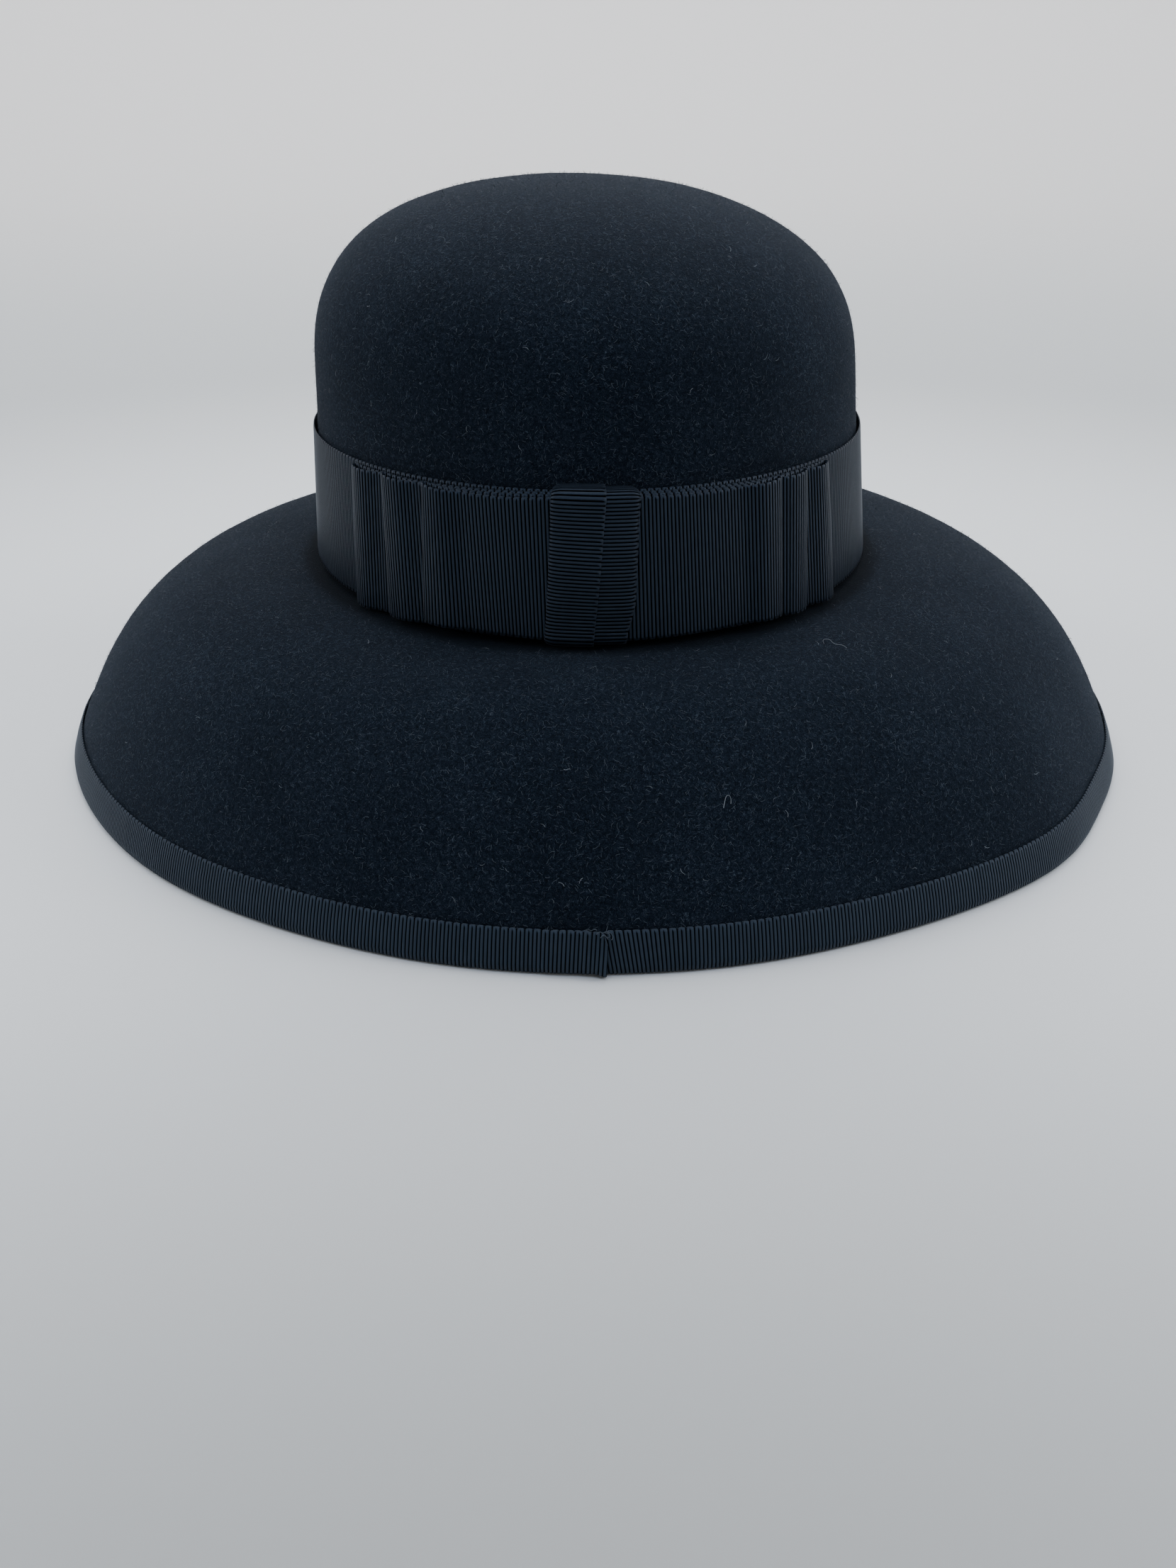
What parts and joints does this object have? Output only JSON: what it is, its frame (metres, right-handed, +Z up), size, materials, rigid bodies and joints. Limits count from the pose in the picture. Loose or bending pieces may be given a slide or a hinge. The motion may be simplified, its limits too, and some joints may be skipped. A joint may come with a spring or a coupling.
{
  "type": "droop brim hat",
  "caption": "Black felt droop brim hat with a rounded crown, a bell-shaped bound brim, and a ribbed band with a flat bow at the back.",
  "frame": {"origin": "on the plane that the rim rests on, under the middle of the hat's box", "axes": "+Z up; -Y is the back of the hat, with the bow and the binding's join; +Y is the front; +X is the wearer's right"},
  "size_m": [0.343, 0.3578, 0.1715],
  "materials": {
    "felt": "blocked wool felt, black with a cool cast, short mottled nap",
    "band_ribbon": "black grosgrain, fine upright ribs with a soft sheen",
    "binding_ribbon": "black grosgrain folded over the rim, ribs across the edge"
  },
  "bodies": {
    "root": {"felt_body": "felt", "brim_binding": "binding_ribbon", "hat_band": "band_ribbon", "bow_loop_left_1": "band_ribbon", "bow_loop_left_2": "band_ribbon", "bow_loop_left_3": "band_ribbon", "bow_loop_right_1": "band_ribbon", "bow_loop_right_2": "band_ribbon", "bow_loop_right_3": "band_ribbon", "bow_knot": "band_ribbon"}
  },
  "joints": []
}
